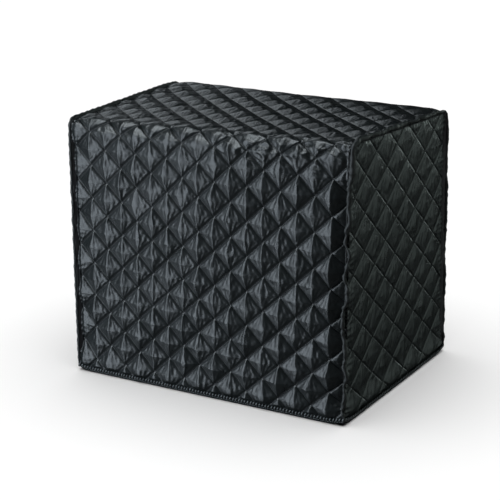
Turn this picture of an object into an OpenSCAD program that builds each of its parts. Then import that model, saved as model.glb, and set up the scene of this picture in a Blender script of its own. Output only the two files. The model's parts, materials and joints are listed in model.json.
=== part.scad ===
// Quilted dust cover for a desktop printer: an open-bottomed bag with a box shape.
// One long panel runs up the front, over the top and down the back; two side panels close the ends.
// Every panel is a quilt of three layers: outer shell, wadding and lining, held by two threads.
// +Z is up, the front faces -Y, and the origin is on the floor under the middle of the cover.

/* [Cover] */
// Width of the cover, from side panel to side panel
cover_w = 450; // [300:1:600]
// Depth of the cover, from front to back
cover_d = 305; // [220:1:450]
// Height of the cover, from the floor to its top
cover_h = 380; // [200:1:500]
// Outer radius of the soft bends between the front, the top and the back
bend_r = 14; // [10:0.5:30]

/* [Quilted layers] */
// Thickness of the outer polyester shell
shell_t = 0.4; // [0.2:0.05:0.5]
// Thickness of the wadding
wadding_t = 4; // [2:0.5:6]
// Thickness of the lining
lining_t = 0.4; // [0.2:0.05:0.5]

/* [Quilting] */
// Width of a diamond on the long panel
main_diamond_w = 51; // [30:1:90]
// Height of a diamond on the long panel
main_diamond_h = 48.5; // [30:0.5:90]
// Width of a diamond on a side panel
side_diamond_w = 60; // [30:1:90]
// Height of a diamond on a side panel
side_diamond_h = 51; // [30:1:90]
// Thickness of the thread
thread_t = 0.4; // [0.2:0.1:0.8]

/* [Seams and hem] */
// Width of the raised welt along each corner seam
welt_w = 3; // [2:0.5:5]
// Rounding of the welt's outer corner
welt_r = 1.5; // [0.5:0.1:2]
// Width of the tape that binds the seam allowance inside
seam_tape_w = 10; // [6:0.5:16]
// Thickness of that tape with the cut edges folded in it
seam_tape_t = 1.2; // [0.6:0.1:2]
// Height of the binding around the bottom edge
hem_h = 9; // [6:0.5:16]
// Thickness of the hem binding
hem_t = 0.6; // [0.4:0.1:1]

/* [Hidden] */

// Room left between two layers or pieces that lie against each other
clear = 0.1;
// How deep each layer starts below the outer face of a panel, and the whole panel's thickness
wadding_in = shell_t + clear;
lining_in = wadding_in + wadding_t + clear;
panel_t = lining_in + lining_t;
// Half sizes of the outer faces
half_w = cover_w / 2;
half_d = cover_d / 2;
// The long panel stops at the welts, and every panel stands in the fold of the hem binding
main_half_w = half_w - welt_w - clear;
panel_bottom = hem_t + clear;
above_hem = hem_h + clear;
// A side panel fits inside the long panel
side_inset = panel_t + clear;
// The seam tapes lie against the side panels from here inward
tape_x = half_w - panel_t - clear;
// Lengths along the outer face of the long panel, from the floor in front, over the top, to the floor behind
bend_len = PI * bend_r / 2;
rise_len = cover_h - bend_r;
top_len = cover_d - 2 * bend_r;
wrap_len = 2 * rise_len + 2 * bend_len + top_len;
// Straight stitches that follow one bend
BEND_STEPS = 3;
chord_sag = bend_r * (1 / cos(45 / BEND_STEPS) - 1);
// Gap between two runs of thread, and the lift of the second row of quilting over the first
thread_gap = 0.4;
cross_lift = thread_t + 0.05;
ROUND = 64;
// An outline far inside the bends keeps this corner radius
SMALLEST_R = 1;

SHELL = "#2b2e31";
WADDING = "#e8e8e4";
LINING = "#202124";
TRIM = "#1c1d1f";
THREAD = "#101112";

// ---- Outlines ----

// The arch-shaped outline of the cover seen from its side, so many millimetres inside the outer face
module arch(inset, bottom) {
    r = max(bend_r - inset, SMALLEST_R);
    w = cover_d - 2 * inset;
    top = cover_h - inset;
    translate([-w / 2, bottom]) square([w, top - r - bottom]);
    translate([-w / 2 + r, bottom]) square([w - 2 * r, top - bottom]);
    for (side = [-1, 1])
        translate([side * (w / 2 - r), top - r]) circle(r = r, $fn = ROUND);
}

// The same outline as a band of even thickness, open at the bottom
module arch_band(inset, thickness, bottom) {
    difference() {
        arch(inset, bottom);
        arch(inset + thickness, bottom - 1);
    }
}

// Stands a side outline up and gives it a width from x0 to x1
module across(x0, x1) {
    translate([x0, 0, 0]) rotate([90, 0, 90]) linear_extrude(x1 - x0) children();
}

// Puts a right-hand piece on the right (side = 1) or mirrors it to the left (side = -1)
module on_side(side) {
    mirror([side < 0 ? 1 : 0, 0, 0]) children();
}

// ---- Quilted panels ----

// One layer of the long panel
module main_layer(inset, thickness) {
    across(-main_half_w, main_half_w) arch_band(inset, thickness, panel_bottom);
}

// One layer of a side panel
module side_layer(side, inset, thickness) {
    on_side(side)
        across(half_w - inset - thickness, half_w - inset)
            arch(side_inset, panel_bottom);
}

module main_shell() {
    color(SHELL) main_layer(0, shell_t);
}

module main_wadding() {
    color(WADDING) main_layer(wadding_in, wadding_t);
}

module main_lining() {
    color(LINING) main_layer(lining_in, lining_t);
}

module side_shell(side) {
    color(SHELL) side_layer(side, 0, shell_t);
}

module side_wadding(side) {
    color(WADDING) side_layer(side, wadding_in, wadding_t);
}

module side_lining(side) {
    color(LINING) side_layer(side, lining_in, lining_t);
}

// ---- Seams ----

// The ridge of cloth over a corner seam, with its outer corner rounded
module seam_welt(side) {
    color(TRIM) on_side(side) {
        across(half_w - welt_w, half_w - welt_r) arch_band(0, panel_t, panel_bottom);
        across(half_w - welt_r, half_w) arch_band(welt_r, panel_t - welt_r, panel_bottom);
        intersection() {
            across(half_w - welt_r, half_w) arch_band(0, welt_r, panel_bottom);
            welt_round();
        }
    }
}

// A bead along the welt's outer corner, whose quarter the welt keeps
module welt_round() {
    x = half_w - welt_r;
    for (end = [-1, 1]) {
        translate([x, end * (half_d - welt_r), panel_bottom])
            cylinder(r = welt_r, h = rise_len - panel_bottom, $fn = ROUND);
        translate([x, end * (half_d - bend_r), rise_len])
            rotate([90, 0, 90])
                rotate([0, 0, end < 0 ? 90 : 0])
                    rotate_extrude(angle = 90, $fn = ROUND)
                        translate([bend_r - welt_r, 0]) circle(r = welt_r, $fn = ROUND);
    }
    translate([x, -top_len / 2, cover_h - welt_r])
        rotate([-90, 0, 0])
            cylinder(r = welt_r, h = top_len, $fn = ROUND);
}

// The folded tape over the cut edges, flat against the inside of the side panel
module seam_tape(side) {
    color(TRIM) on_side(side)
        across(tape_x - seam_tape_t, tape_x) arch_band(side_inset, seam_tape_w, above_hem);
}

// The row of stitches down the middle of the seam tape
module seam_thread(side) {
    thread_x = tape_x - seam_tape_t;
    inset = side_inset + seam_tape_w / 2 - thread_t / 2;
    color(THREAD) on_side(side)
        across(thread_x - thread_t, thread_x) arch_band(inset, thread_t, above_hem);
}

// ---- Quilting ----

// A straight run of thread from p to q, drawn in a little at both ends
module run(p, q) {
    d = q - p;
    len = norm(d);
    if (len > 4 * thread_gap)
        translate(p)
            rotate([0, acos(d.z / len), atan2(d.y, d.x)])
                translate([-thread_t / 2, -thread_t / 2, thread_gap])
                    cube([thread_t, thread_t, len - 2 * thread_gap]);
}

// A point of the long panel: x across it, s along it, and lift outward from its outer face
function wrap_point(x, s, lift) =
    s > wrap_len / 2 ? mirror_y(wrap_point(x, wrap_len - s, lift)) :
    s < rise_len ? [x, -half_d - lift, s] :
    s < rise_len + bend_len + 0.01 ? bend_point(x, 90 * (s - rise_len) / bend_len, lift) :
    [x, s - rise_len - bend_len - top_len / 2, cover_h + lift];

// A point of the front bend, at an angle up from its start
function bend_point(x, angle, lift) =
    let (r = bend_r + lift)
    [x, -half_d + bend_r - r * cos(angle), rise_len + r * sin(angle)];

function mirror_y(p) = [p.x, -p.y, p.z];

// Whether a place along the long panel is in a bend
function in_bend(s) =
    let (from_floor = min(s, wrap_len - s))
    from_floor > rise_len && from_floor < rise_len + bend_len;

// Where a line of quilting changes from one straight run to the next
BREAKS = [
    for (start = [rise_len, rise_len + bend_len + top_len])
        for (i = [0 : BEND_STEPS]) start + i * bend_len / BEND_STEPS
];

// Lines of quilting on the long panel, leaning right (lean = 1) or left (lean = -1)
module main_lines(lean, half, lift) {
    slope = main_diamond_w / main_diamond_h;
    reach = half / slope;
    first = ceil((above_hem - reach) / main_diamond_h);
    last = floor((wrap_len - above_hem + reach) / main_diamond_h);
    for (i = [first : last]) {
        middle = i * main_diamond_h;
        low = max(above_hem, middle - reach);
        high = min(wrap_len - above_hem, middle + reach);
        stops = [low, for (b = BREAKS) if (b > low && b < high) b, high];
        for (k = [1 : len(stops) - 1]) {
            from = stops[k - 1];
            to = stops[k];
            // A straight run cuts across the bend, so outside the cloth it stands off by its sag
            run_lift = lift > 0 && in_bend((from + to) / 2) ? lift + chord_sag : lift;
            run(
                wrap_point(lean * slope * (from - middle), from, run_lift),
                wrap_point(lean * slope * (to - middle), to, run_lift)
            );
        }
    }
}

// Both directions of quilting on the long panel, out to half its width, the second over the first
module main_quilting(half, lift, over) {
    main_lines(1, half, lift);
    main_lines(-1, half, lift + over);
}

// Lines of quilting on a side panel, at a place x, that end so far inside the outer faces
module side_lines(lean, x, inset) {
    edge = half_d - inset;
    slope = side_diamond_w / side_diamond_h;
    reach = edge / slope;
    top = cover_h - max(inset, bend_r);
    first = ceil((above_hem - reach) / side_diamond_h);
    last = floor((top + reach) / side_diamond_h);
    for (i = [first : last]) {
        middle = i * side_diamond_h;
        low = max(above_hem, middle - reach);
        high = min(top, middle + reach);
        if (high > low)
            run(
                [x, lean * slope * (low - middle), low],
                [x, lean * slope * (high - middle), high]
            );
    }
}

module side_quilting(side, x, over, inset) {
    on_side(side) {
        side_lines(1, x, inset);
        side_lines(-1, x + over, inset);
    }
}

outer_lift = thread_t / 2 + clear;
inner_lift = -panel_t - outer_lift;

module main_needle_thread() {
    color(THREAD) main_quilting(main_half_w, outer_lift, cross_lift);
}

// Inside, the quilting shows only between the seam tapes
module main_bobbin_thread() {
    color(THREAD) main_quilting(tape_x - seam_tape_t - thread_t, inner_lift, -cross_lift);
}

module side_needle_thread(side) {
    color(THREAD) side_quilting(side, half_w + outer_lift, cross_lift, side_inset);
}

module side_bobbin_thread(side) {
    color(THREAD) side_quilting(side, half_w + inner_lift, -cross_lift, side_inset + seam_tape_w);
}

// ---- Hem ----

// A rectangle around the cover, so many millimetres inside the outer faces
module footprint(inset) {
    square([cover_w - 2 * inset, cover_d - 2 * inset], center = true);
}

// A straight-sided ring that follows the bottom edge
module ring(inset, thickness, bottom, height) {
    translate([0, 0, bottom])
        linear_extrude(height)
            difference() {
                footprint(inset);
                footprint(inset + thickness);
            }
}

// The tape folded around the bottom edge of all the panels
module hem_binding() {
    whole_t = panel_t + 2 * (hem_t + clear);
    color(TRIM)
        difference() {
            ring(-hem_t - clear, whole_t, 0, hem_h);
            ring(-clear, whole_t - 2 * hem_t, hem_t, hem_h);
        }
}

// The row of stitches around the outside of the hem
module hem_thread() {
    color(THREAD) ring(-hem_t - clear - thread_t, thread_t, hem_h * 0.6, thread_t);
}

main_shell();
main_wadding();
main_lining();
side_shell(1);  // right_shell
side_wadding(1);  // right_wadding
side_lining(1);  // right_lining
side_shell(-1);  // left_shell
side_wadding(-1);  // left_wadding
side_lining(-1);  // left_lining
seam_welt(1);  // right_seam_welt
seam_welt(-1);  // left_seam_welt
seam_tape(1);  // right_seam_tape
seam_tape(-1);  // left_seam_tape
seam_thread(1);  // right_seam_thread
seam_thread(-1);  // left_seam_thread
main_needle_thread();
main_bobbin_thread();
side_needle_thread(1);  // right_needle_thread
side_bobbin_thread(1);  // right_bobbin_thread
side_needle_thread(-1);  // left_needle_thread
side_bobbin_thread(-1);  // left_bobbin_thread
hem_binding();
hem_thread();
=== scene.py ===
"""Looks of the quilted dust cover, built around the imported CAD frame.

Metres, +Z up, the front faces -Y. Every quilted panel starts as a flat grid whose rows and columns
meet its lines of quilting, with a small roof in every diamond. A cloth simulation puffs it up with
the stitches held. A blend of both shapes gets its fine creases, and is then wrapped onto the faces of
the cover and round its soft bends.
"""
import json
import math

import bpy
import numpy as np
from mathutils import Matrix, Vector

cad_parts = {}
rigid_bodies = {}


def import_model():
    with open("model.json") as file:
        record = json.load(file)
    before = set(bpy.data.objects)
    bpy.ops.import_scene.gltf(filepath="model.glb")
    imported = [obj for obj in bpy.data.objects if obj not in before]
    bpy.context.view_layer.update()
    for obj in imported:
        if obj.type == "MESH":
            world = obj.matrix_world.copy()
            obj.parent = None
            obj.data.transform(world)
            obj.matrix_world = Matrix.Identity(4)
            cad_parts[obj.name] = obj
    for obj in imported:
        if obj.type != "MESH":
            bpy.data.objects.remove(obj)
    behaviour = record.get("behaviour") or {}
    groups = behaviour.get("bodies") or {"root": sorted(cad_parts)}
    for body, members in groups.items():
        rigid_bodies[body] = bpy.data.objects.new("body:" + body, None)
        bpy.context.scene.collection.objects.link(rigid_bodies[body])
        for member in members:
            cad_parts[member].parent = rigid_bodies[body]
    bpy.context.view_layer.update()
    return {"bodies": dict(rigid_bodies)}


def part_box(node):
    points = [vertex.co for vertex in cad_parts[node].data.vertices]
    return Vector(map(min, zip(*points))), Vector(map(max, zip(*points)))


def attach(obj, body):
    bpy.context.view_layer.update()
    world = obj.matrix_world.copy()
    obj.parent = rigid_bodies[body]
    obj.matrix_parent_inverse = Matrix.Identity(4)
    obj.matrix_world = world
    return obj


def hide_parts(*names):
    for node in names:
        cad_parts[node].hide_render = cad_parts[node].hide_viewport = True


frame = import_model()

BODY = next(iter(frame["bodies"]))
MM = 0.001

# ---- Sizes of the cover, from the frame ----

HALF_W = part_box("right_shell")[1].x
HALF_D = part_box("main_shell")[1].y
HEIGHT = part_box("main_shell")[1].z
HEM_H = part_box("hem_binding")[1].z
# Where the folded hem ends once its stitches have drawn it down
FOLD_TOP = HEM_H - 2 * MM
INNER_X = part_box("right_lining")[0].x
TAPE_WIDTH = 10 * MM
# Outer radius of the bends between the front, the top and the back, as in the CAD
BEND_R = 14 * MM
# Its radius midway between the seams, and how far from a seam it gets there
SOFT_BEND_R = 27 * MM
BRIDGE_W = 70 * MM
BEND_LEN = math.pi / 2 * BEND_R
RISE = HEIGHT - BEND_R
WRAP_LEN = 2 * (RISE + BEND_LEN) + 2 * (HALF_D - BEND_R)

# ---- Quilting ----

# Width and height of a diamond, and one crossing of the stitches: across the panel, up from the floor
MAIN_DIAMOND = (51.5 * MM, 48 * MM)
MAIN_CROSSING = (-8.3 * MM, 333.5 * MM)
SIDE_DIAMOND = (60 * MM, 51 * MM)
SIDE_CROSSING = (-8.8 * MM, 302.3 * MM)
# Slope of the long panel's rows, which fall a little towards the right
ROW_SLOPE = 0.025
# Cells of the grid along half a diamond, for the shells and for the layers behind them
SHELL_CELLS = 10
INNER_CELLS = 5
# How far the puffs rise over the stitches before they are blown up
MAIN_PUFF = 8.5 * MM
SIDE_PUFF = 2.3 * MM
# Where the stitches lie below the CAD's outer face: on the faces, at the seams and at the hem
STITCH_DEPTH = 5.0 * MM
SEAM_DEPTH = 2.2 * MM
HEM_DEPTH = 2.5 * MM
# Thickness of the quilt where it is stitched
SEWN_T = 1.3 * MM
# How far the panels' cut edges stay behind the outer face of the next panel
EDGE_INSET = 1.9 * MM
PANEL_BOTTOM = 1.6 * MM


def smooth(t):
    """0 below 0 and 1 above 1, with an easy curve between."""
    t = np.clip(t, 0, 1)
    return t * t * (3 - 2 * t)


def noise(u, v, size, seed):
    """Smooth noise from -1 to 1 over a plane, with bumps about as far apart as size."""
    cells, shift = 64, 500
    table = np.random.default_rng(seed).uniform(-1, 1, (cells, cells))
    u, v = np.asarray(u) / size + shift, np.asarray(v) / size + shift
    i, j = np.floor(u).astype(int), np.floor(v).astype(int)
    a, b = smooth(u - i), smooth(v - j)

    def at(di, dj):
        return table[(i + di) % cells, (j + dj) % cells]

    low = at(0, 0) * (1 - a) + at(1, 0) * a
    high = at(0, 1) * (1 - a) + at(1, 1) * a
    return low * (1 - b) + high * b


# ---- From flat panels to the cover ----

# How far each corner of the soft cover has settled out of square, in millimetres. A corner is
# -1 on the left or 1 on the right, -1 in front or 1 at the back, 0 at the bottom or 1 at the top
CORNER_SHIFTS = [
    ((-1, -1, 0), (0, -3, 0)),
    ((1, -1, 0), (-8, -6, 0)),
    ((1, 1, 0), (1.5, 5.5, 0)),
    ((-1, 1, 0), (0, 4, 0)),
    ((-1, -1, 1), (6, 4, -2)),
    ((-1, 1, 1), (-4, -2.5, 1.5)),
    ((1, 1, 1), (4.5, 0, -8)),
    ((1, -1, 1), (0, 2, 7)),
]


def settle(points):
    """Moves points with the corners of the cover, each corner by its own shift."""
    x, y, z = points[:, 0], points[:, 1], points[:, 2]
    moved = points.copy()
    for (side, end, level), shift in CORNER_SHIFTS:
        share = (0.5 + 0.5 * side * x / HALF_W) * (0.5 + 0.5 * end * y / HALF_D)
        share = share * (z / HEIGHT if level else 1 - z / HEIGHT)
        moved += share[:, None] * np.array(shift) * MM
    # The hem is drawn up a little at the corner seams
    drawn_up, drawn_width, drawn_height = 3.5 * MM, 16 * MM, 60 * MM
    from_corner = np.hypot(HALF_W - np.abs(x), HALF_D - np.abs(y))
    moved[:, 2] += drawn_up * np.exp(-((from_corner / drawn_width) ** 2)) * smooth(1 - z / drawn_height)
    return moved


def main_place(x, s, out):
    """Points of the long panel: x across it, s along it from the floor in front, out from the CAD's face."""
    # The rows run level at the hems
    level_height = 90 * MM
    s = s - ROW_SLOPE * x * smooth(np.minimum(s, WRAP_LEN - s) / level_height)
    from_floor = np.minimum(s, WRAP_LEN - s)
    # Between the seams the quilt bridges the front bend with a wider one; the back is pulled tight
    bridged = smooth((HALF_W - np.abs(x)) / BRIDGE_W) * (s < WRAP_LEN / 2)
    r = BEND_R + (SOFT_BEND_R - BEND_R) * bridged
    rise, bend_len = HEIGHT - r, math.pi / 2 * r
    angle = np.clip((from_floor - rise) / bend_len, 0, 1) * math.pi / 2
    top_share = np.maximum(from_floor - rise - bend_len, 0) / (WRAP_LEN / 2 - rise - bend_len)
    z = np.minimum(from_floor, rise) + (r + out) * np.sin(angle)
    y = top_share * (HALF_D - r) - HALF_D + r - (r + out) * np.cos(angle)
    y = np.where(s < WRAP_LEN / 2, y, -y)
    return np.stack(np.broadcast_arrays(x, y, z), -1).reshape(-1, 3)


def side_place(side):
    """The same for a side panel: y across it, v up it. Its top corners are rounded like the bends."""

    def place(y, v, out):
        past = np.maximum(np.abs(y) - (HALF_D - BEND_R), 0)
        top = RISE + np.sqrt(np.maximum(BEND_R**2 - past**2, 0))
        squeeze_from = HEIGHT - 3 * BEND_R
        above = np.maximum(v - squeeze_from, 0)
        z = np.minimum(v, squeeze_from) + above * (top - squeeze_from) / (HEIGHT - squeeze_from)
        x = side * (HALF_W + out)
        return np.stack(np.broadcast_arrays(x, y, z), -1).reshape(-1, 3)

    return place


def stitch_level(edge_distance, hem_distance, u, v, seed, valley_depth, valley_width):
    """How far out the stitches of a panel lie: in a valley beside each seam, and nearly level at the hem."""
    uneven, uneven_size = 1.0 * MM, 95 * MM
    seam_strip, valley_from, hem_strip = 7 * MM, 4 * MM, 30 * MM
    level = -STITCH_DEPTH + uneven * noise(u, v, uneven_size, seed)
    valley = -STITCH_DEPTH - valley_depth
    level = valley + (level - valley) * smooth((edge_distance - valley_from) / valley_width)
    level = -SEAM_DEPTH + (level + SEAM_DEPTH) * smooth(edge_distance / seam_strip)
    return -HEM_DEPTH + (level + HEM_DEPTH) * smooth((hem_distance - HEM_H) / hem_strip)


class Panel:
    """A quilted panel while it is flat: u across it, v up or along it."""

    def __init__(self, name, half_width, length, diamond, crossing, puff, place, seed):
        self.name = name
        self.half_width = half_width
        self.v_range = (PANEL_BOTTOM, length)
        self.half_diamond = np.array(diamond) / 2
        self.crossing = np.array(crossing)
        self.puff = puff
        self.place = place
        self.seed = seed
        self.two_hems = length > HEIGHT

    def level(self, u, v):
        """How far out the stitched cloth lies at places of the panel."""
        edge_distance = self.half_width - np.abs(u)
        hem_distance = v
        valley_depth, valley_width = 0.5 * MM, 38 * MM
        if self.two_hems:
            hem_distance = np.minimum(v, WRAP_LEN - v)
            # The valley is deeper and narrower beside the slack seam on the right
            to_right = smooth(0.5 + u / (100 * MM))
            below_bend = smooth((RISE - hem_distance) / (60 * MM))
            valley_depth = (4.0 + 3.5 * to_right) * MM * below_bend
            valley_width = (38 - 16 * to_right) * MM
        else:
            edge_distance = np.minimum(edge_distance, self.v_range[1] - v)
        edge_distance = np.maximum(edge_distance, 0)
        level = stitch_level(edge_distance, hem_distance, u, v, self.seed, valley_depth, valley_width)
        if self.two_hems:
            # The tight back bend has hardly any puffs, and its stitches lie nearly flush
            raised, raised_width, seam_strip = 4.0 * MM, 40 * MM, 22 * MM
            from_bend = (WRAP_LEN - v - RISE - BEND_LEN / 2) / raised_width
            level = level + raised * np.exp(-(from_bend**2)) * smooth(edge_distance / seam_strip)
        return level


def grid_line(low, high, crossing, step):
    """Places along one side of a grid: its two ends, and those between that keep step with a crossing."""
    # The share of a step that is left free beside each end
    spare = 0.4
    first = math.ceil((low - crossing) / step + spare)
    last = math.floor((high - crossing) / step - spare)
    return np.concatenate([[low], crossing + step * np.arange(first, last + 1), [high]])


class Grid:
    """A panel's flat grid, and where each of its points lies in its diamond."""

    def __init__(self, panel, us, vs):
        self.panel = panel
        self.us, self.vs = us, vs
        half_w, half_h = panel.half_diamond
        self.shape = (len(us), len(vs))
        self.u, self.v = (a.ravel() for a in np.meshgrid(us, vs, indexing="ij"))
        k = (self.u - panel.crossing[0]) / half_w
        m = (self.v - panel.crossing[1]) / half_h
        # Number of falling and rising lines passed, whose whole part names the diamond
        tiny = 1e-6
        self.fall, self.rise = (k + m) / 2 + tiny, (k - m) / 2 + tiny
        self.diamond = np.floor(self.fall).astype(int), np.floor(self.rise).astype(int)
        a, b = self.fall % 1, self.rise % 1
        # 0 on a line of stitches and 1 midway to the next one
        self.off_fall, self.off_rise = 1 - np.abs(2 * a - 1), 1 - np.abs(2 * b - 1)
        # From -1 to 1 across and up the diamond
        self.across, self.up = a + b - 1, a - b
        i, j = np.indices(self.shape)
        self.on_edge = ((i == 0) | (j == 0) | (i == len(us) - 1) | (j == len(vs) - 1)).ravel()
        sewn = np.minimum(self.off_fall, self.off_rise) < 1e-3
        self.held = self.on_edge | sewn | (self.hem_distance() < FOLD_TOP)

    def hem_distance(self):
        """Distance along the cloth from each point to the nearest hem."""
        return np.minimum(self.v, WRAP_LEN - self.v) if self.panel.two_hems else self.v

    def edge_distance(self):
        """Distance from each point to the nearest seam."""
        sides = self.panel.half_width - np.abs(self.u)
        return sides if self.panel.two_hems else np.minimum(sides, self.panel.v_range[1] - self.v)

    def stitch_distance(self):
        """Distance from each point to the nearest line of stitches."""
        half_w, half_h = self.panel.half_diamond
        return np.minimum(self.off_fall, self.off_rise) * half_w * half_h / math.hypot(half_w, half_h)

    def each_diamond(self, salt, low=-1.0, high=1.0):
        """A random number for each diamond, at its points."""
        rows, columns = 97, 89
        table = np.random.default_rng(self.panel.seed * 100 + salt).uniform(low, high, (rows, columns))
        return table[self.diamond[0] % rows, self.diamond[1] % columns]

    def refined(self, values):
        """The grid with twice as many cells each way, and values halfway between those of this grid."""
        old = values.reshape(*self.shape, -1)
        new = np.zeros((2 * self.shape[0] - 1, 2 * self.shape[1] - 1, old.shape[2]))
        new[::2, ::2] = old
        new[1::2, ::2] = (old[:-1] + old[1:]) / 2
        new[::2, 1::2] = (old[:, :-1] + old[:, 1:]) / 2
        # The middle of a cell lies on its cut, so that a line of stitches stays level
        cut_fall = (old[1:, :-1] + old[:-1, 1:]) / 2
        cut_rise = (old[:-1, :-1] + old[1:, 1:]) / 2
        falling = self.cut_falls().reshape(self.shape[0] - 1, self.shape[1] - 1, 1)
        new[1::2, 1::2] = np.where(falling, cut_fall, cut_rise)
        grid = Grid(self.panel, halved(self.us), halved(self.vs))
        return grid, new.reshape(-1, old.shape[2])

    def cut_falls(self):
        """Whether each cell is nearer to a falling line of stitches than to a rising one."""
        q = self.quads()
        return self.off_fall[q].sum(1) < self.off_rise[q].sum(1)

    def quads(self):
        """The four corners of each cell."""
        index = np.arange(self.shape[0] * self.shape[1]).reshape(self.shape)
        corners = index[:-1, :-1], index[1:, :-1], index[1:, 1:], index[:-1, 1:]
        return np.stack(corners, -1).reshape(-1, 4)

    def triangles(self):
        """Each cell cut along the nearest line of stitches, so that no line is crossed by an edge."""
        q, falling = self.quads(), self.cut_falls()
        cut_fall = np.concatenate([q[falling][:, [0, 1, 3]], q[falling][:, [1, 2, 3]]])
        cut_rise = np.concatenate([q[~falling][:, [0, 1, 2]], q[~falling][:, [0, 2, 3]]])
        return np.concatenate([cut_fall, cut_rise])


def halved(places):
    """Places with one more midway between each two."""
    return np.sort(np.concatenate([places, (places[:-1] + places[1:]) / 2]))


def panel_grid(panel, cells):
    """The flat grid of a panel, with so many cells along half a diamond."""
    step_u, step_v = panel.half_diamond / cells
    us = grid_line(-panel.half_width, panel.half_width, panel.crossing[0], step_u)
    return Grid(panel, us, grid_line(*panel.v_range, panel.crossing[1], step_v))


def start_heights(grid, puff):
    """Every diamond as a small roof, its ridge from the lower to the upper crossing, no two quite alike."""
    width = np.maximum(1 - np.abs(grid.up), 1e-3)
    # The ridge is rounded off at its middle, and stands a little to one side
    blunt, off_centre = 0.2, 0.22
    soft_up = (np.hypot(grid.up, blunt) - blunt) / (math.hypot(1, blunt) - blunt)
    t = np.clip(grid.across / width, -1, 1)
    ridge = off_centre * grid.each_diamond(1)
    tent = np.where(t < ridge, (1 + t) / (1 + ridge), (1 - t) / (1 - ridge))
    roof = np.maximum(1 - soft_up, 0) ** 0.5 * np.clip(tent, 0, 1)
    pyramid = np.minimum(grid.off_fall, grid.off_rise)
    step_width = (1.4 if grid.panel.two_hems else 2.0) * MM
    pillow = 1 - np.exp(-grid.stitch_distance() / step_width)
    swell = grid.each_diamond(2, 0.8, 1.12)
    seam_strip, hem_strip = 13 * MM, 6 * MM
    seams = smooth(grid.edge_distance() / seam_strip)
    seams = seams * smooth((grid.hem_distance() - FOLD_TOP) / hem_strip)
    # The side panels are pulled flatter, into pillows with hardly a ridge
    roofed, peaked, filled = (0.46, 0.28, 0.26) if grid.panel.two_hems else (0.12, 0.38, 0.50)
    upright = roofed * roof + peaked * pyramid + filled * pillow
    # The top sags: its puffs lie flatter and rounder, in ropes between the falling lines
    rope = 0.62 * grid.off_fall**0.6 * grid.off_rise**0.35
    on_top = smooth((grid.hem_distance() - RISE) / (50 * MM)) if grid.panel.two_hems else 0
    return puff * swell * seams * (upright + (rope - upright) * on_top)


def streaks(grid):
    """Creases that fan out from the upper and lower crossing of each diamond, from -1 to 1."""
    half_w, half_h = grid.panel.half_diamond
    fade = 13 * MM
    total = np.zeros(len(grid.u))
    for end, salt in ((1, 3), (-1, 5)):
        reach_x, reach_y = grid.across * half_w, (1 - end * grid.up) * half_h
        angle = np.arctan2(reach_x, reach_y + 1 * MM)
        far = np.hypot(reach_x, reach_y)
        count = grid.each_diamond(salt, 9, 15)
        crease = 1 - 2 * np.abs(np.sin(angle * count + 6 * grid.each_diamond(salt + 1)))
        total += crease * np.exp(-far / fade)
    return total * smooth(4 * np.minimum(grid.off_fall, grid.off_rise))


def puckers(grid):
    """Short folds that leave the stitches at right angles, and longer ones that leave the seams."""
    half_w, half_h = grid.panel.half_diamond
    line = math.hypot(half_w, half_h)
    apart = half_w * half_h / line
    pitch, depth, fade = 6.5 * MM, 0.22 * MM, 3 * MM
    total = np.zeros(len(grid.u))
    for off, along, seed in ((grid.off_fall, grid.rise, 11), (grid.off_rise, grid.fall, 12)):
        away = off * apart
        wander = 1.6 * noise(grid.u, grid.v, 14 * MM, seed)
        fold = np.sin(2 * math.pi * along * line * 2 / pitch + wander * 2)
        total += depth * fold * np.exp(-away / fade) * smooth(away / (1.5 * MM))
    pitch, depth, fade = 8 * MM, 0.9 * MM, 9 * MM
    near = grid.edge_distance()
    along = np.where(grid.panel.half_width - np.abs(grid.u) <= near + 1e-9, grid.v, grid.u)
    fold = np.sin(2 * math.pi * along / pitch + 3 * noise(grid.u, grid.v, 22 * MM, 13))
    total += depth * fold * np.exp(-near / fade) * smooth(near / (2 * MM))
    return total


# ---- Simulation ----

FRAMES = 12


def blow_up(grid, heights):
    """Cloth simulation of a flat panel: its stitches and edges are held, and air fills the diamonds."""
    start = np.stack([grid.u, grid.v, heights], -1)
    mesh = bpy.data.meshes.new("flat_panel")
    mesh.from_pydata(start.tolist(), [], grid.quads().tolist())
    flat = bpy.data.objects.new("flat_panel", mesh)
    bpy.context.scene.collection.objects.link(flat)
    held = flat.vertex_groups.new(name="held")
    held.add(np.nonzero(grid.held)[0].tolist(), 1.0, "REPLACE")
    cloth = flat.modifiers.new("cloth", "CLOTH")
    settings = cloth.settings
    settings.vertex_group_mass = held.name
    settings.quality = 4
    settings.mass = 0.3
    settings.use_pressure = True
    settings.uniform_pressure_force = 8
    settings.shrink_min = -0.02
    settings.tension_stiffness = 15
    settings.compression_stiffness = 15
    settings.shear_stiffness = 5
    settings.bending_stiffness = 5
    settings.tension_damping = 5
    settings.compression_damping = 5
    settings.shear_damping = 5
    settings.air_damping = 5
    settings.effector_weights.gravity = 0
    cloth.collision_settings.use_collision = False
    cloth.collision_settings.use_self_collision = False
    cloth.point_cache.frame_start = 1
    cloth.point_cache.frame_end = FRAMES
    for number in range(1, FRAMES + 1):
        bpy.context.scene.frame_set(number)
    puffed = flat.evaluated_get(bpy.context.evaluated_depsgraph_get()).to_mesh()
    result = np.zeros(len(puffed.vertices) * 3)
    puffed.vertices.foreach_get("co", result)
    bpy.data.objects.remove(flat)
    bpy.data.meshes.remove(mesh)
    bpy.context.scene.frame_set(1)
    return result.reshape(-1, 3)


# ---- Meshes ----

COVER = bpy.data.collections.new("cover")
bpy.context.scene.collection.children.link(COVER)
STAGE = bpy.data.collections.new("stage")
bpy.context.scene.collection.children.link(STAGE)


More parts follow.
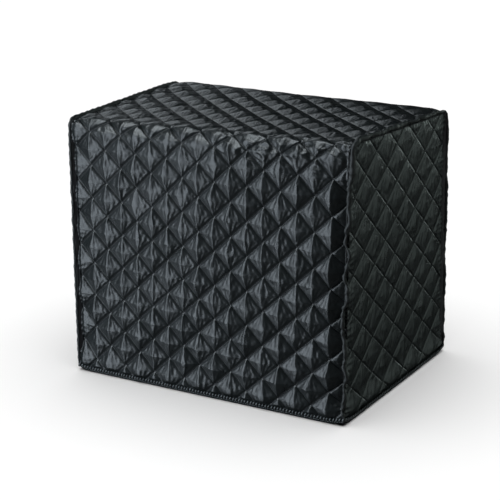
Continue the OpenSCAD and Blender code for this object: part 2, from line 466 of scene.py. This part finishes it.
def add_mesh(name, points, faces, material, replaced, flat=None):
    """A piece of the cover: smooth-shaded, riding on the cover's body, in place of its CAD nodes."""
    mesh = bpy.data.meshes.new(name)
    if isinstance(faces, np.ndarray):
        faces = faces.tolist()
    mesh.from_pydata(settle(points).tolist(), [], faces)
    mesh.polygons.foreach_set("use_smooth", np.ones(len(faces), bool))
    if flat is not None:
        layer = mesh.uv_layers.new(name="flat")
        corners = np.zeros(len(mesh.loops), int)
        mesh.loops.foreach_get("vertex_index", corners)
        layer.data.foreach_set("uv", flat[corners].astype(np.float32).ravel())
    mesh.materials.append(material)
    mesh.update()
    piece = bpy.data.objects.new(name, mesh)
    COVER.objects.link(piece)
    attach(piece, BODY)
    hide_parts(*replaced)
    return piece


def flip(faces, turned):
    """The faces, turned over if asked, so that they look outwards."""
    return faces[:, ::-1] if turned else faces


def strip_faces(rings, sides, closed):
    """Quads between neighbouring rings of points, with both ends capped unless the rings form a loop."""
    ring = np.arange(rings if closed else rings - 1)[:, None]
    side = np.arange(sides)[None, :]
    after, beside = (ring + 1) % rings, (side + 1) % sides
    quads = [ring * sides + side, ring * sides + beside, after * sides + beside, after * sides + side]
    faces = np.stack(np.broadcast_arrays(*quads), -1).reshape(-1, 4).tolist()
    if not closed:
        faces.append(list(range(sides))[::-1])
        faces.append([(rings - 1) * sides + i for i in range(sides)])
    return faces


# ---- Stitches ----

STITCH_PITCH = 3.5 * MM
STITCH_LEN = 3.0 * MM
STITCH_R = 0.3 * MM
# How far the rings of a stitch lie from its middle
RING_AT = STITCH_LEN / 3.2


def stitch_mesh(tips, middles, outward, radius):
    """Every stitch as a short, rounded length of thread: two tips, and two rings of four points between."""
    along = tips[1] - tips[0]
    along /= np.linalg.norm(along, axis=1, keepdims=True)
    sideways = np.cross(along, outward)
    sideways /= np.linalg.norm(sideways, axis=1, keepdims=True)
    outward = np.cross(sideways, along)
    points = [tips[0]]
    for middle in middles:
        for a, b in ((1, 0), (0, 1), (-1, 0), (0, -1)):
            points.append(middle + radius * (a * sideways + b * outward))
    points.append(tips[1])
    points = np.stack(points, 1)
    faces = []
    for i in range(4):
        n = (i + 1) % 4
        faces += [[0, 1 + n, 1 + i], [1 + i, 1 + n, 5 + n], [1 + i, 5 + n, 5 + i], [5 + i, 5 + n, 9]]
    count = len(points)
    faces = (np.array(faces)[None] + 10 * np.arange(count)[:, None, None]).reshape(-1, 3)
    return points.reshape(-1, 3), faces


def quilting_rows(panel, margin):
    """Flat places of every stitch of a panel: its middle, and its direction."""
    half = panel.half_diamond
    line = np.linalg.norm(half)
    reach = panel.half_width - margin
    low, high = panel.v_range[0] + HEM_H, panel.v_range[1] - (HEM_H if panel.two_hems else margin)
    middles, ways = [], []
    lines = int((high - low + 2 * reach) / half.min()) + 4
    for lean in (1, -1):
        for number in range(-lines, lines):
            count = int(4 * reach / half[0] * line / STITCH_PITCH)
            k = (np.arange(count) - count / 2 + 0.5) * STITCH_PITCH / line
            u = panel.crossing[0] + k * half[0]
            v = panel.crossing[1] + (2 * number + lean * k) * half[1]
            keep = (np.abs(u) < reach) & (v > low) & (v < high)
            middles.append(np.stack([u, v], -1)[keep])
            ways.append(np.tile([half[0] / line, lean * half[1] / line], (keep.sum(), 1)))
    return np.concatenate(middles), np.concatenate(ways)


def add_quilting(panel, name, lift, margin, material, replaced, seed):
    """The visible stitches on one face of a panel, so far out from the stitched cloth."""
    middle, way = quilting_rows(panel, margin)
    rng = np.random.default_rng(seed)
    uneven = 0.12 * MM
    middle = middle + rng.normal(0, uneven, middle.shape)

    def at(step, rise):
        u, v = (middle + way * step).T
        return panel.place(u, v, panel.level(u, v) + lift + rise)

    bow = 0.22 * MM * np.sign(lift)
    tips = at(-STITCH_LEN / 2, -bow), at(STITCH_LEN / 2, -bow)
    rings = at(-RING_AT, bow), at(RING_AT, bow)
    outward = at(0, 1 * MM) - at(0, 0)
    points, faces = stitch_mesh(tips, rings, outward, STITCH_R)
    return add_mesh(name, points, faces, material, [replaced])


# ---- The layers of a quilted panel ----


def shell_points(panel):
    """The outer fabric after its simulation, with the creases that are too fine for it."""
    grid = panel_grid(panel, SHELL_CELLS)
    heights = start_heights(grid, panel.puff)
    puffed = blow_up(grid, heights + 0.2 * MM * streaks(grid))
    # The stiff quilt keeps most of its folded shape, which the air only rounds off
    air_share = 0.35
    puffed[:, 2] = air_share * puffed[:, 2] + (1 - air_share) * heights
    grid, puffed = grid.refined(puffed)
    u, v, height = puffed.T
    streak_depth, crinkle_depth, crinkle_size = 0.45 * MM, 0.32 * MM, 3.6 * MM
    fine = puckers(grid) + streak_depth * streaks(grid) + gathers(grid)
    fine += crinkle_depth * noise(grid.u, grid.v * 0.4, crinkle_size, panel.seed + 40)
    stitch_strip = 3.5 * MM
    height = height + np.where(grid.held, 0, fine * smooth(grid.stitch_distance() / stitch_strip))
    if panel.two_hems:
        height = height * bend_share(grid)
    out = panel.level(u, v) + height
    return grid, panel.place(u, v, out)


def gathers(grid):
    """Slack folds where the quilt goes round its bends, most of them towards the right."""
    if not grid.panel.two_hems:
        return np.zeros(len(grid.u))
    depth, width, size = 1.8 * MM, 26 * MM, 8 * MM
    near_bend = np.exp(-(((grid.hem_distance() - RISE) / width) ** 2))
    share = 0.4 + 0.6 * smooth((grid.u + 20 * MM) / (150 * MM))
    leaning = grid.u - 0.5 * grid.v, grid.v + 0.35 * grid.u
    fold = noise(leaning[0] * 0.55, leaning[1], size, 45)
    return depth * near_bend * share * (1 - 2 * np.abs(fold))


def bend_share(grid):
    """How much of their height the puffs keep: the bends squeeze them."""
    from_floor = grid.hem_distance()
    middle = RISE + BEND_LEN / 2
    front_loss, back_loss, width = 0.25, 0.9, 36 * MM
    squeezed = np.where(grid.v < WRAP_LEN / 2, front_loss, back_loss)
    return 1 - squeezed * np.exp(-(((from_floor - middle) / width) ** 2))


def edge_sink(grid):
    """How far the inner layers draw back at the seams and the hem, where the cloth's edges are open."""
    sink, strip = 1.4 * MM, 14 * MM
    nearest = np.minimum(grid.edge_distance(), grid.hem_distance() - PANEL_BOTTOM)
    return sink * (1 - smooth(nearest / strip))


def lining_out(grid):
    """How far out the lining lies: it bulges inwards, less than the shell does outwards."""
    puff = start_heights(grid, 0.35 * grid.panel.puff)
    puff = np.where(grid.held, 0, puff)
    return grid.panel.level(grid.u, grid.v) - SEWN_T - puff - edge_sink(grid)


def add_shell(panel, material, turned):
    """The outer cloth of a panel."""
    grid, points = shell_points(panel)
    flat = np.stack([grid.u, grid.v], -1)
    faces = flip(grid.triangles(), turned)
    name = panel.name + "_shell"
    return add_mesh(name + "_cloth", points, faces, material, [name], flat)


def add_lining(panel, material, turned):
    """The inner cloth of a panel."""
    grid = panel_grid(panel, INNER_CELLS)
    points = panel.place(grid.u, grid.v, lining_out(grid))
    flat = np.stack([grid.u, grid.v], -1)
    faces = flip(grid.triangles(), not turned)
    name = panel.name + "_lining"
    return add_mesh(name + "_cloth", points, faces, material, [name], flat)


def add_wadding(panel, material, turned):
    """The filling: a closed pad between the two fabrics, pressed flat under the stitches."""
    grid = panel_grid(panel, INNER_CELLS)
    gap = 0.5 * MM
    level = panel.level(grid.u, grid.v)
    puff = np.where(grid.held, 0, start_heights(grid, 0.5 * panel.puff))
    if panel.two_hems:
        puff = puff * bend_share(grid)
    front = panel.place(grid.u, grid.v, level - gap + puff - edge_sink(grid))
    back = panel.place(grid.u, grid.v, lining_out(grid) + gap)
    points = np.concatenate([front, back])
    count = len(front)
    faces = grid.triangles()
    rows, columns = grid.shape
    index = np.arange(count).reshape(rows, columns)
    rim = np.concatenate([index[:, 0], index[-1, 1:], index[-2::-1, -1], index[0, -2:0:-1]])
    following = np.roll(rim, -1)
    walls = np.concatenate(
        [
            np.stack([rim + count, following + count, following], -1),
            np.stack([rim + count, following, rim], -1),
        ]
    )
    faces = flip(np.concatenate([faces, faces[:, ::-1] + count, walls]), turned)
    name = panel.name + "_wadding"
    return add_mesh(name + "_pad", points, faces, material, [name])


# ---- Seams and hem ----


def swept(place_ring, places, section_size, closed=False):
    """Points and faces of a section carried along a path."""
    points = np.concatenate([place_ring(p) for p in places])
    return points, strip_faces(len(places), section_size, closed)


def add_welt(side, name, material, replaced, seed):
    """The wavy ridge of cloth along a corner seam, pinched at uneven distances."""
    sides, spacing = 10, 2.0 * MM
    angles = np.arange(sides) * 2 * math.pi / sides
    places = np.arange(PANEL_BOTTOM, WRAP_LEN - PANEL_BOTTOM, spacing)

    def along(size, number):
        return noise(places, np.zeros(len(places)), size, seed + number)

    # The seams at the back and on the left are pulled straighter than the one at the front right
    left_slack, back_slack = 0.15, 0.3
    slack = (1.0 if side > 0 else left_slack) * np.where(places < WRAP_LEN - RISE, 1, back_slack)
    at_back_bend = np.exp(-(((WRAP_LEN - places - RISE - BEND_LEN / 2) / (30 * MM)) ** 2))
    slack = slack * (1 - at_back_bend)
    wander_x = 4.6 * MM * along(15 * MM, 0) + 0.9 * MM * along(60 * MM, 1)
    wander_out = 1.2 * MM * along(13 * MM, 2)
    pinch = smooth(np.abs(along(12 * MM, 3)) / 0.25)
    rough = 0.38 * pinch - 0.23 + 0.45 * along(5 * MM, 4)
    # The ridge bunches up below the front corner of the top
    bunched = 0.4 * np.exp(-(((places - RISE + 30 * MM) / (60 * MM)) ** 2))
    # It is thinner where the back bend pulls it tight, and where the hem takes it in
    radius = (3.3 - 1.4 * at_back_bend) * MM * (0.85 + slack * (rough + bunched))
    off_hem = smooth((np.minimum(places, WRAP_LEN - places) - HEM_H) / (12 * MM))
    radius *= 0.65 + 0.35 * off_hem
    centre = 2.3 * MM
    middle_x = HALF_W - centre + off_hem * slack * wander_x
    middle_out = -centre - 1.2 * MM * at_back_bend + off_hem * slack * wander_out

    def ring(number):
        # Three shallow folds wind round the ridge, which is a little narrower than it is deep
        flute = 1 + 0.12 * np.sin(3 * angles + 0.9 * number)
        r = radius[number] * flute
        x = side * (middle_x[number] + 0.8 * r * np.cos(angles))
        return main_place(x, np.full(sides, places[number]), middle_out[number] + r * np.sin(angles))

    points, faces = swept(ring, range(len(places)), sides)
    return add_mesh(name, points, faces, material, [replaced])


# How far the middle of a seam tape lies inside the side panel's lining
TAPE_GAP = 1.6 * MM


def tape_section():
    """Outline of the folded seam tape: thickness and width, with rounded ends."""
    half_t, rounding = 0.6 * MM, 0.45 * MM
    turn = [(half_t, 0), (half_t * 0.7, rounding), (-half_t * 0.7, rounding), (-half_t, 0)]
    outer = [(a, TAPE_WIDTH / 2 - rounding + b) for a, b in turn]
    inner = [(-a, -TAPE_WIDTH / 2 + rounding - b) for a, b in turn]
    return np.array(outer + [(-half_t * 0.9, 0)] + inner + [(half_t * 0.9, 0)])


def tape_depth(s):
    """Depth of the middle of a seam tape, which the bends squeeze."""
    from_floor = np.minimum(s, WRAP_LEN - s)
    share = np.exp(-(((from_floor - RISE - BEND_LEN / 2) / (14 * MM)) ** 2))
    bend_loss, outer_edge = 0.28, 5.6 * MM
    width_share = 1 - bend_loss * share
    return -outer_edge - TAPE_WIDTH / 2 * width_share, width_share


def add_tape(side, name, material, replaced, seed):
    """The tape that binds the seam allowance inside, a little wavy."""
    section = tape_section()
    spacing = 4.0 * MM
    places = np.arange(HEM_H, WRAP_LEN - HEM_H, spacing)
    wave = 0.7 * MM * noise(places, np.zeros(len(places)), 24 * MM, seed)

    def ring(number):
        s = np.full(len(section), places[number])
        depth, width_share = tape_depth(places[number])
        tilt = wave[number] * section[:, 1] / TAPE_WIDTH
        x = side * (INNER_X - TAPE_GAP + section[:, 0] + wave[number] * 0.5 + tilt)
        return main_place(x, s, depth + section[:, 1] * width_share)

    points, faces = swept(ring, range(len(places)), len(section))
    return add_mesh(name, points, faces, material, [replaced])


def add_tape_stitches(side, name, material, replaced):
    """The row of stitches down the middle of a seam tape."""
    margin, bow = 4 * MM, 0.2 * MM
    s = np.arange(HEM_H + margin, WRAP_LEN - HEM_H - margin, STITCH_PITCH)
    x = side * (INNER_X - TAPE_GAP - 0.75 * MM)

    def at(step, rise):
        depth, _ = tape_depth(s + step)
        return main_place(np.full(len(s), x - side * rise), s + step, depth)

    tips = at(-STITCH_LEN / 2, -bow), at(STITCH_LEN / 2, -bow)
    rings = at(-RING_AT, bow), at(RING_AT, bow)
    outward = at(0, 1 * MM) - at(0, 0)
    points, faces = stitch_mesh(tips, rings, outward, STITCH_R)
    return add_mesh(name, points, faces, material, [replaced])


# Radius of the hem's corners
CORNER_R = 6 * MM


def hem_place(t, out, z):
    """Points round the bottom edge: t along the outline of the cover, from the middle of its front."""
    lengths = [HALF_W - CORNER_R, HALF_D - CORNER_R]
    arc = math.pi / 2 * CORNER_R
    quarter = lengths[0] + lengths[1] + arc
    turns, t = np.divmod(t, 2 * quarter)
    # Half of the outline runs from the middle of the front to the middle of the back
    past = t - lengths[0]
    angle = np.clip(past / CORNER_R, 0, math.pi / 2)
    up_side = np.clip(past - arc, 0, 2 * lengths[1])
    second = np.clip(past - arc - 2 * lengths[1], 0, arc) / CORNER_R
    along_back = np.maximum(past - 2 * arc - 2 * lengths[1], 0)
    turn = angle + second
    r = CORNER_R + out
    x = np.minimum(t, lengths[0]) + r * np.sin(turn) - along_back
    y = -lengths[1] - r * np.cos(turn) + up_side
    flipped = np.where(turns % 2 == 0, 1, -1)
    return np.stack(np.broadcast_arrays(x * flipped, y * flipped, z), -1).reshape(-1, 3)


def hem_length():
    """Length of the outline that the hem follows."""
    return 4 * (HALF_W + HALF_D - 2 * CORNER_R) + 2 * math.pi * CORNER_R


# The binding's section, in millimetres out from the CAD's outer face and up from the floor
HEM_SECTION = [
    (-0.6, 7.2), (-0.2, 6.2), (-0.8, 5.0), (-1.1, 3.4), (-1.7, 1.6), (-2.4, 0.4),
    (-3.4, 0.0), (-4.6, 0.4), (-5.6, 1.6), (-5.8, 5.0), (-5.6, 9.0),
    (-5.1, 9.0), (-5.2, 2.4), (-3.6, 0.9), (-2.2, 2.2), (-1.3, 7.2),
]


def add_hem(name, material, replaced):
    """The binding folded round the bottom edge, puckered by its stitches."""
    section = np.array(HEM_SECTION) * MM
    spacing, pucker_pitch = 1.4 * MM, 4.2 * MM
    count = int(hem_length() / spacing)
    places = np.arange(count) * hem_length() / count

    def ring(number):
        t = places[number]
        zero = np.zeros(1)
        ripple = 0.25 * math.sin(2 * math.pi * t / pucker_pitch) + 0.5 * noise(t, zero, 9 * MM, 71)[0]
        wave = 0.5 * noise(t, zero, 30 * MM, 72)[0]
        outer = section[:, 0] > -2 * MM
        out = section[:, 0] + (ripple + wave) * 0.5 * MM * outer
        top = section[:, 1] > 7 * MM
        z = section[:, 1] + 0.6 * MM * noise(t, zero, 12 * MM, 73)[0] * top
        return hem_place(np.full(len(section), t), out, z)

    points, faces = swept(ring, range(count), len(section), closed=True)
    return add_mesh(name, points, faces, material, [replaced])


# The straight row of hem stitches and the slanting row over the fold's upper edge, in millimetres:
# pitch, height of each stitch's two ends, how far it runs along the hem, and radius of the thread
HEM_ROWS = ((3.6, 3.8, 3.8, 2.8, 0.24), (4.8, 4.4, 9.4, 2.2, 0.55))


def add_hem_stitches(name, material, replaced):
    """The two rows of stitches round the hem."""
    rng = np.random.default_rng(74)
    uneven = 0.2 * MM
    meshes = []
    for pitch, low, high, slant, radius in HEM_ROWS:
        count = int(hem_length() / (pitch * MM))
        t = np.arange(count) * hem_length() / count + rng.normal(0, uneven, count)

        def at(share, out):
            z = np.full(count, (low + (high - low) * share) * MM)
            return hem_place(t + slant * MM * share, np.full(count, out * MM), z)

        tips = at(0, -0.7), at(1, -0.9)
        rings = at(0.25, 0.45), at(0.75, 0.3)
        outward = at(0.5, 1.5) - at(0.5, 0.5)
        meshes.append(stitch_mesh(tips, rings, outward, radius * MM))
    first = len(meshes[0][0])
    points = np.concatenate([meshes[0][0], meshes[1][0]])
    faces = np.concatenate([meshes[0][1], meshes[1][1] + first])
    return add_mesh(name, points, faces, material, [replaced])


# ---- Materials ----


def add_node(tree, kind, inputs, **settings):
    """A shader node with its settings; an input is a value, or the socket of another node."""
    node = tree.nodes.new(kind)
    for name, value in settings.items():
        setattr(node, name, value)
    for name, value in inputs.items():
        if isinstance(value, bpy.types.NodeSocket):
            tree.links.new(value, node.inputs[name])
        else:
            node.inputs[name].default_value = value
    return node


def cloth_coordinates(tree, flat):
    """Metres across and along the cloth where it has a flat shape, or metres in the frame."""
    if flat:
        return add_node(tree, "ShaderNodeUVMap", {}, uv_map="flat").outputs["UV"]
    return add_node(tree, "ShaderNodeTexCoord", {}).outputs["Object"]


def fabric(name, dark, light, roughness, sheen, weave_mm, crinkle_mm, flat=True, specular=0.5):
    """Woven cloth: two sets of threads, fine crinkles, and colour and gloss that wander a little."""
    material = bpy.data.materials.new(name)
    material.use_nodes = True
    tree = material.node_tree
    shader = tree.nodes["Principled BSDF"]
    place = cloth_coordinates(tree, flat)
    # A wave texture of scale 1 repeats every pi / 10 metres
    scale = 1 / (weave_mm * MM) * math.pi / 10
    heights = []
    for axis in ("X", "Y"):
        wave = add_node(
            tree, "ShaderNodeTexWave",
            {"Vector": place, "Scale": scale, "Distortion": 0.6, "Detail": 1.0},
            bands_direction=axis,
        )
        heights.append(wave.outputs["Fac"])
    weave = add_node(tree, "ShaderNodeMath", {}, operation="MULTIPLY")
    tree.links.new(heights[0], weave.inputs[0])
    tree.links.new(heights[1], weave.inputs[1])
    crinkle = add_node(
        tree, "ShaderNodeTexNoise",
        {"Vector": place, "Scale": 150.0, "Detail": 5.0, "Roughness": 0.7},
    )
    patches = add_node(
        tree, "ShaderNodeTexNoise",
        {"Vector": place, "Scale": 35.0, "Detail": 4.0, "Roughness": 0.65},
    )
    low = add_node(
        tree, "ShaderNodeBump",
        {"Height": crinkle.outputs["Fac"], "Strength": 0.6, "Distance": crinkle_mm * MM},
    )
    high = add_node(
        tree, "ShaderNodeBump",
        {"Height": weave.outputs[0], "Strength": 0.5, "Distance": 0.08 * MM, "Normal": low.outputs["Normal"]},
    )
    tree.links.new(high.outputs["Normal"], shader.inputs["Normal"])
    colour = add_node(tree, "ShaderNodeMix", {}, data_type="RGBA")
    tree.links.new(patches.outputs["Fac"], colour.inputs["Factor"])
    colour.inputs["A"].default_value = (*dark, 1)
    colour.inputs["B"].default_value = (*light, 1)
    tree.links.new(colour.outputs["Result"], shader.inputs["Base Color"])
    spread = 0.06
    gloss = add_node(
        tree, "ShaderNodeMapRange",
        {"Value": patches.outputs["Fac"], "To Min": roughness - spread, "To Max": roughness + spread},
    )
    tree.links.new(gloss.outputs["Result"], shader.inputs["Roughness"])
    shader.inputs["Sheen Weight"].default_value = sheen
    shader.inputs["Sheen Roughness"].default_value = 0.4
    shader.inputs["Specular IOR Level"].default_value = specular
    return material


def thread_material(name, dark, light, specular):
    """Twisted polyester thread with fine slanting plies."""
    material = bpy.data.materials.new(name)
    material.use_nodes = True
    tree = material.node_tree
    shader = tree.nodes["Principled BSDF"]
    place = cloth_coordinates(tree, False)
    plies = add_node(
        tree, "ShaderNodeTexWave", {"Vector": place, "Scale": 900.0, "Distortion": 1.0},
        bands_direction="DIAGONAL",
    )
    tint = add_node(tree, "ShaderNodeValToRGB", {"Fac": plies.outputs["Fac"]})
    tint.color_ramp.elements[0].color = (*dark, 1)
    tint.color_ramp.elements[1].color = (*light, 1)
    tree.links.new(tint.outputs["Color"], shader.inputs["Base Color"])
    bump = add_node(
        tree, "ShaderNodeBump",
        {"Height": plies.outputs["Fac"], "Strength": 0.4, "Distance": 0.05 * MM},
    )
    tree.links.new(bump.outputs["Normal"], shader.inputs["Normal"])
    shader.inputs["Roughness"].default_value = 0.6
    shader.inputs["Specular IOR Level"].default_value = specular
    return material


def wadding_material():
    """Charcoal polyester wadding: a soft, fibrous mat."""
    material = bpy.data.materials.new("polyester_wadding")
    material.use_nodes = True
    tree = material.node_tree
    shader = tree.nodes["Principled BSDF"]
    place = cloth_coordinates(tree, False)
    fibres = add_node(
        tree, "ShaderNodeTexNoise",
        {"Vector": place, "Scale": 700.0, "Detail": 8.0, "Distortion": 2.5},
    )
    tint = add_node(tree, "ShaderNodeValToRGB", {"Fac": fibres.outputs["Fac"]})
    tint.color_ramp.elements[0].color = (0.016, 0.016, 0.017, 1)
    tint.color_ramp.elements[1].color = (0.045, 0.045, 0.048, 1)
    tree.links.new(tint.outputs["Color"], shader.inputs["Base Color"])
    bump = add_node(
        tree, "ShaderNodeBump",
        {"Height": fibres.outputs["Fac"], "Strength": 0.6, "Distance": 0.4 * MM},
    )
    tree.links.new(bump.outputs["Normal"], shader.inputs["Normal"])
    shader.inputs["Roughness"].default_value = 0.9
    return material


# ---- Camera, floor and lights ----

# The camera's direction in degrees, as in direction(), its roll in radians and its lens in millimetres
AZIMUTH = 30.8
ELEVATION = 17.42
ROLL = math.radians(-1.51)
CAMERA_LENS = 100.65
# The camera's place from the origin, along its own right, up and back directions
CAMERA_PLACE = (-0.0177, 0.1639, 2.0842)


def direction(azimuth, elevation):
    """Unit vector from the cover towards a place round it; azimuth 0 is in front and 90 on the right."""
    a, e = math.radians(azimuth), math.radians(elevation)
    return Vector((math.sin(a) * math.cos(e), -math.cos(a) * math.cos(e), math.sin(e)))


def add_camera():
    """The camera at the photo's angle."""
    back = direction(AZIMUTH, ELEVATION)
    right = Vector((0, 0, 1)).cross(back).normalized()
    up = back.cross(right)
    rolled_right = right * math.cos(ROLL) + up * math.sin(ROLL)
    rolled_up = up * math.cos(ROLL) - right * math.sin(ROLL)
    a, b, c = CAMERA_PLACE
    camera = bpy.data.objects.new("camera", bpy.data.cameras.new("camera"))
    bpy.context.scene.collection.objects.link(camera)
    turn = Matrix((rolled_right, rolled_up, back)).transposed().to_4x4()
    camera.matrix_world = Matrix.Translation(rolled_right * a + rolled_up * b + back * c) @ turn
    camera.data.lens = CAMERA_LENS
    camera.data.sensor_width = 36
    camera.data.clip_end = 60
    bpy.context.scene.camera = camera


def add_floor():
    """A plain pale floor that doesn't mirror in the cloth and casts no shadow."""
    reach = 30.0
    corners = [(-reach, -reach, 0), (reach, -reach, 0), (reach, reach, 0), (-reach, reach, 0)]
    mesh = bpy.data.meshes.new("floor")
    mesh.from_pydata(corners, [], [(0, 1, 2, 3)])
    floor = bpy.data.objects.new("floor", mesh)
    STAGE.objects.link(floor)
    material = bpy.data.materials.new("pale_floor")
    material.use_nodes = True
    shader = material.node_tree.nodes["Principled BSDF"]
    shader.inputs["Base Color"].default_value = (0.9, 0.9, 0.9, 1)
    shader.inputs["Roughness"].default_value = 0.9
    shader.inputs["Specular IOR Level"].default_value = 0
    mesh.materials.append(material)
    floor.visible_glossy = False
    floor.visible_shadow = False


def add_light(light, place, towards, lit):
    """Adds a light that shines from a direction onto one collection only."""
    lamp = bpy.data.objects.new(light.name, light)
    bpy.context.scene.collection.objects.link(lamp)
    lamp.location = place
    lamp.rotation_euler = towards.to_track_quat("Z", "Y").to_euler()
    lamp.light_linking.receiver_collection = lit
    lamp.visible_camera = False


def add_softbox(name, azimuth, elevation, distance, size, power, colour, target):
    """A rectangular light on the cover, so far from the place that it is aimed at."""
    light = bpy.data.lights.new(name, "AREA")
    light.shape = "RECTANGLE"
    light.size, light.size_y = size
    light.energy = power
    light.color = colour
    towards = direction(azimuth, elevation)
    add_light(light, Vector(target) + towards * distance, towards, COVER)


def add_sun(name, azimuth, elevation, strength, softness, colour, lit):
    """A distant light whose softness is its apparent size in degrees."""
    light = bpy.data.lights.new(name, "SUN")
    light.energy = strength
    light.angle = math.radians(softness)
    light.color = colour
    add_light(light, (0, 0, 2), direction(azimuth, elevation), lit)


def add_lights():
    """Studio lights: a cool key from the front left, soft suns round the cover, and the floor's own."""
    add_softbox(
        "key_softbox", azimuth=-36, elevation=6, distance=0.85, size=(0.55, 1.5), power=12.8,
        colour=(0.80, 0.90, 1.0), target=(0, -0.15, 0.10),
    )
    add_sun("overhead_light", -40, 62, 2.6, 35, (0.86, 0.95, 1.0), COVER)
    add_sun("top_light", -136, 20, 0.15, 26, (0.86, 0.94, 1.0), COVER)
    add_sun("side_light", 122, 8, 0.5, 60, (0.82, 1.0, 0.95), COVER)
    add_sun("back_light", 168, 3, 0.26, 20, (0.85, 1.0, 0.96), COVER)
    add_sun("floor_light", 0, 88, 3.6, 80, (1.0, 1.0, 1.0), STAGE)
    # The camera sees a white background, which hardly lights anything
    world = bpy.data.worlds.new("studio")
    bpy.context.scene.world = world
    world.use_nodes = True
    tree = world.node_tree
    dim = tree.nodes["Background"]
    dim.inputs["Color"].default_value = (0.93, 1.0, 0.98, 1)
    dim.inputs["Strength"].default_value = 0.012
    seen = add_node(tree, "ShaderNodeBackground", {"Color": (1, 1, 1, 1), "Strength": 1.0})
    rays = add_node(tree, "ShaderNodeLightPath", {})
    mix = add_node(tree, "ShaderNodeMixShader", {"Fac": rays.outputs["Is Camera Ray"]})
    tree.links.new(dim.outputs[0], mix.inputs[1])
    tree.links.new(seen.outputs[0], mix.inputs[2])
    tree.links.new(mix.outputs[0], tree.nodes["World Output"].inputs["Surface"])
    bpy.context.scene.view_settings.view_transform = "Standard"


# ---- The cover ----

add_camera()
add_floor()
add_lights()

SHELL = fabric(
    "shell_polyester", dark=(0.004, 0.0050, 0.0053), light=(0.008, 0.0098, 0.0102),
    roughness=0.29, sheen=0.0, weave_mm=0.5, crinkle_mm=0.16,
)
LINING = fabric(
    "lining_cloth", dark=(0.012, 0.012, 0.014), light=(0.022, 0.022, 0.025),
    roughness=0.65, sheen=0.1, weave_mm=0.7, crinkle_mm=0.2,
)
TRIM = fabric(
    "trim_tape", dark=(0.005, 0.006, 0.006), light=(0.010, 0.012, 0.012),
    roughness=0.55, sheen=0.0, weave_mm=0.6, crinkle_mm=0.8, flat=False, specular=0.45,
)
# The hem's binding is the trim's cloth painted darker, as painted shade where the hem turns under out of the
# light, and it has hardly any gloss
HEM_CLOTH_PAINTED_SHADE = fabric(
    "hem_tape_painted_shade", dark=(0.002, 0.0025, 0.0025), light=(0.004, 0.0045, 0.0045),
    roughness=0.7, sheen=0.0, weave_mm=0.6, crinkle_mm=0.8, flat=False, specular=0.04,
)
THREAD = thread_material(
    "quilting_thread", dark=(0.002, 0.002, 0.003), light=(0.005, 0.005, 0.006), specular=0.05
)
HEM_THREAD = thread_material(
    "hem_thread", dark=(0.08, 0.09, 0.10), light=(0.24, 0.26, 0.27), specular=0.4
)
WADDING = wadding_material()

PANELS = [
    Panel(
        "main", half_width=HALF_W - EDGE_INSET, length=WRAP_LEN - PANEL_BOTTOM,
        diamond=MAIN_DIAMOND, crossing=MAIN_CROSSING, puff=MAIN_PUFF, place=main_place, seed=1,
    )
]
for name, side, seed in (("right", 1, 2), ("left", -1, 3)):
    PANELS.append(
        Panel(
            name, half_width=HALF_D - EDGE_INSET, length=HEIGHT - EDGE_INSET,
            diamond=SIDE_DIAMOND, crossing=SIDE_CROSSING, puff=SIDE_PUFF, place=side_place(side), seed=seed,
        )
    )
# Where the stitches lie from the stitched cloth's outer face, and how far they stay from the seams
NEEDLE_LIFT = 0.05 * MM
BOBBIN_LIFT = -SEWN_T - 0.15 * MM
NEEDLE_MARGIN = 2.5 * MM
BOBBIN_MARGIN = 7 * MM

for panel in PANELS:
    # The left panel is the mirror image of the right one, so its faces are turned over
    turned = panel.name == "left"
    shell = add_shell(panel, SHELL, turned)
    lining = add_lining(panel, LINING, turned)
    wadding = add_wadding(panel, WADDING, turned)
    needle = add_quilting(
        panel, panel.name + "_needle_stitches", NEEDLE_LIFT, NEEDLE_MARGIN, THREAD,
        panel.name + "_needle_thread", seed=50,
    )
    bobbin = add_quilting(
        panel, panel.name + "_bobbin_stitches", BOBBIN_LIFT, BOBBIN_MARGIN, THREAD,
        panel.name + "_bobbin_thread", seed=51,
    )

for side, name in ((1, "right"), (-1, "left")):
    add_welt(side, name + "_seam_ridge", TRIM, name + "_seam_welt", 20 + side)
    add_tape(side, name + "_inner_tape", TRIM, name + "_seam_tape", 30 + side)
    add_tape_stitches(side, name + "_tape_stitches", THREAD, name + "_seam_thread")

add_hem("hem_fold", HEM_CLOTH_PAINTED_SHADE, "hem_binding")
add_hem_stitches("hem_stitches", HEM_THREAD, "hem_thread")
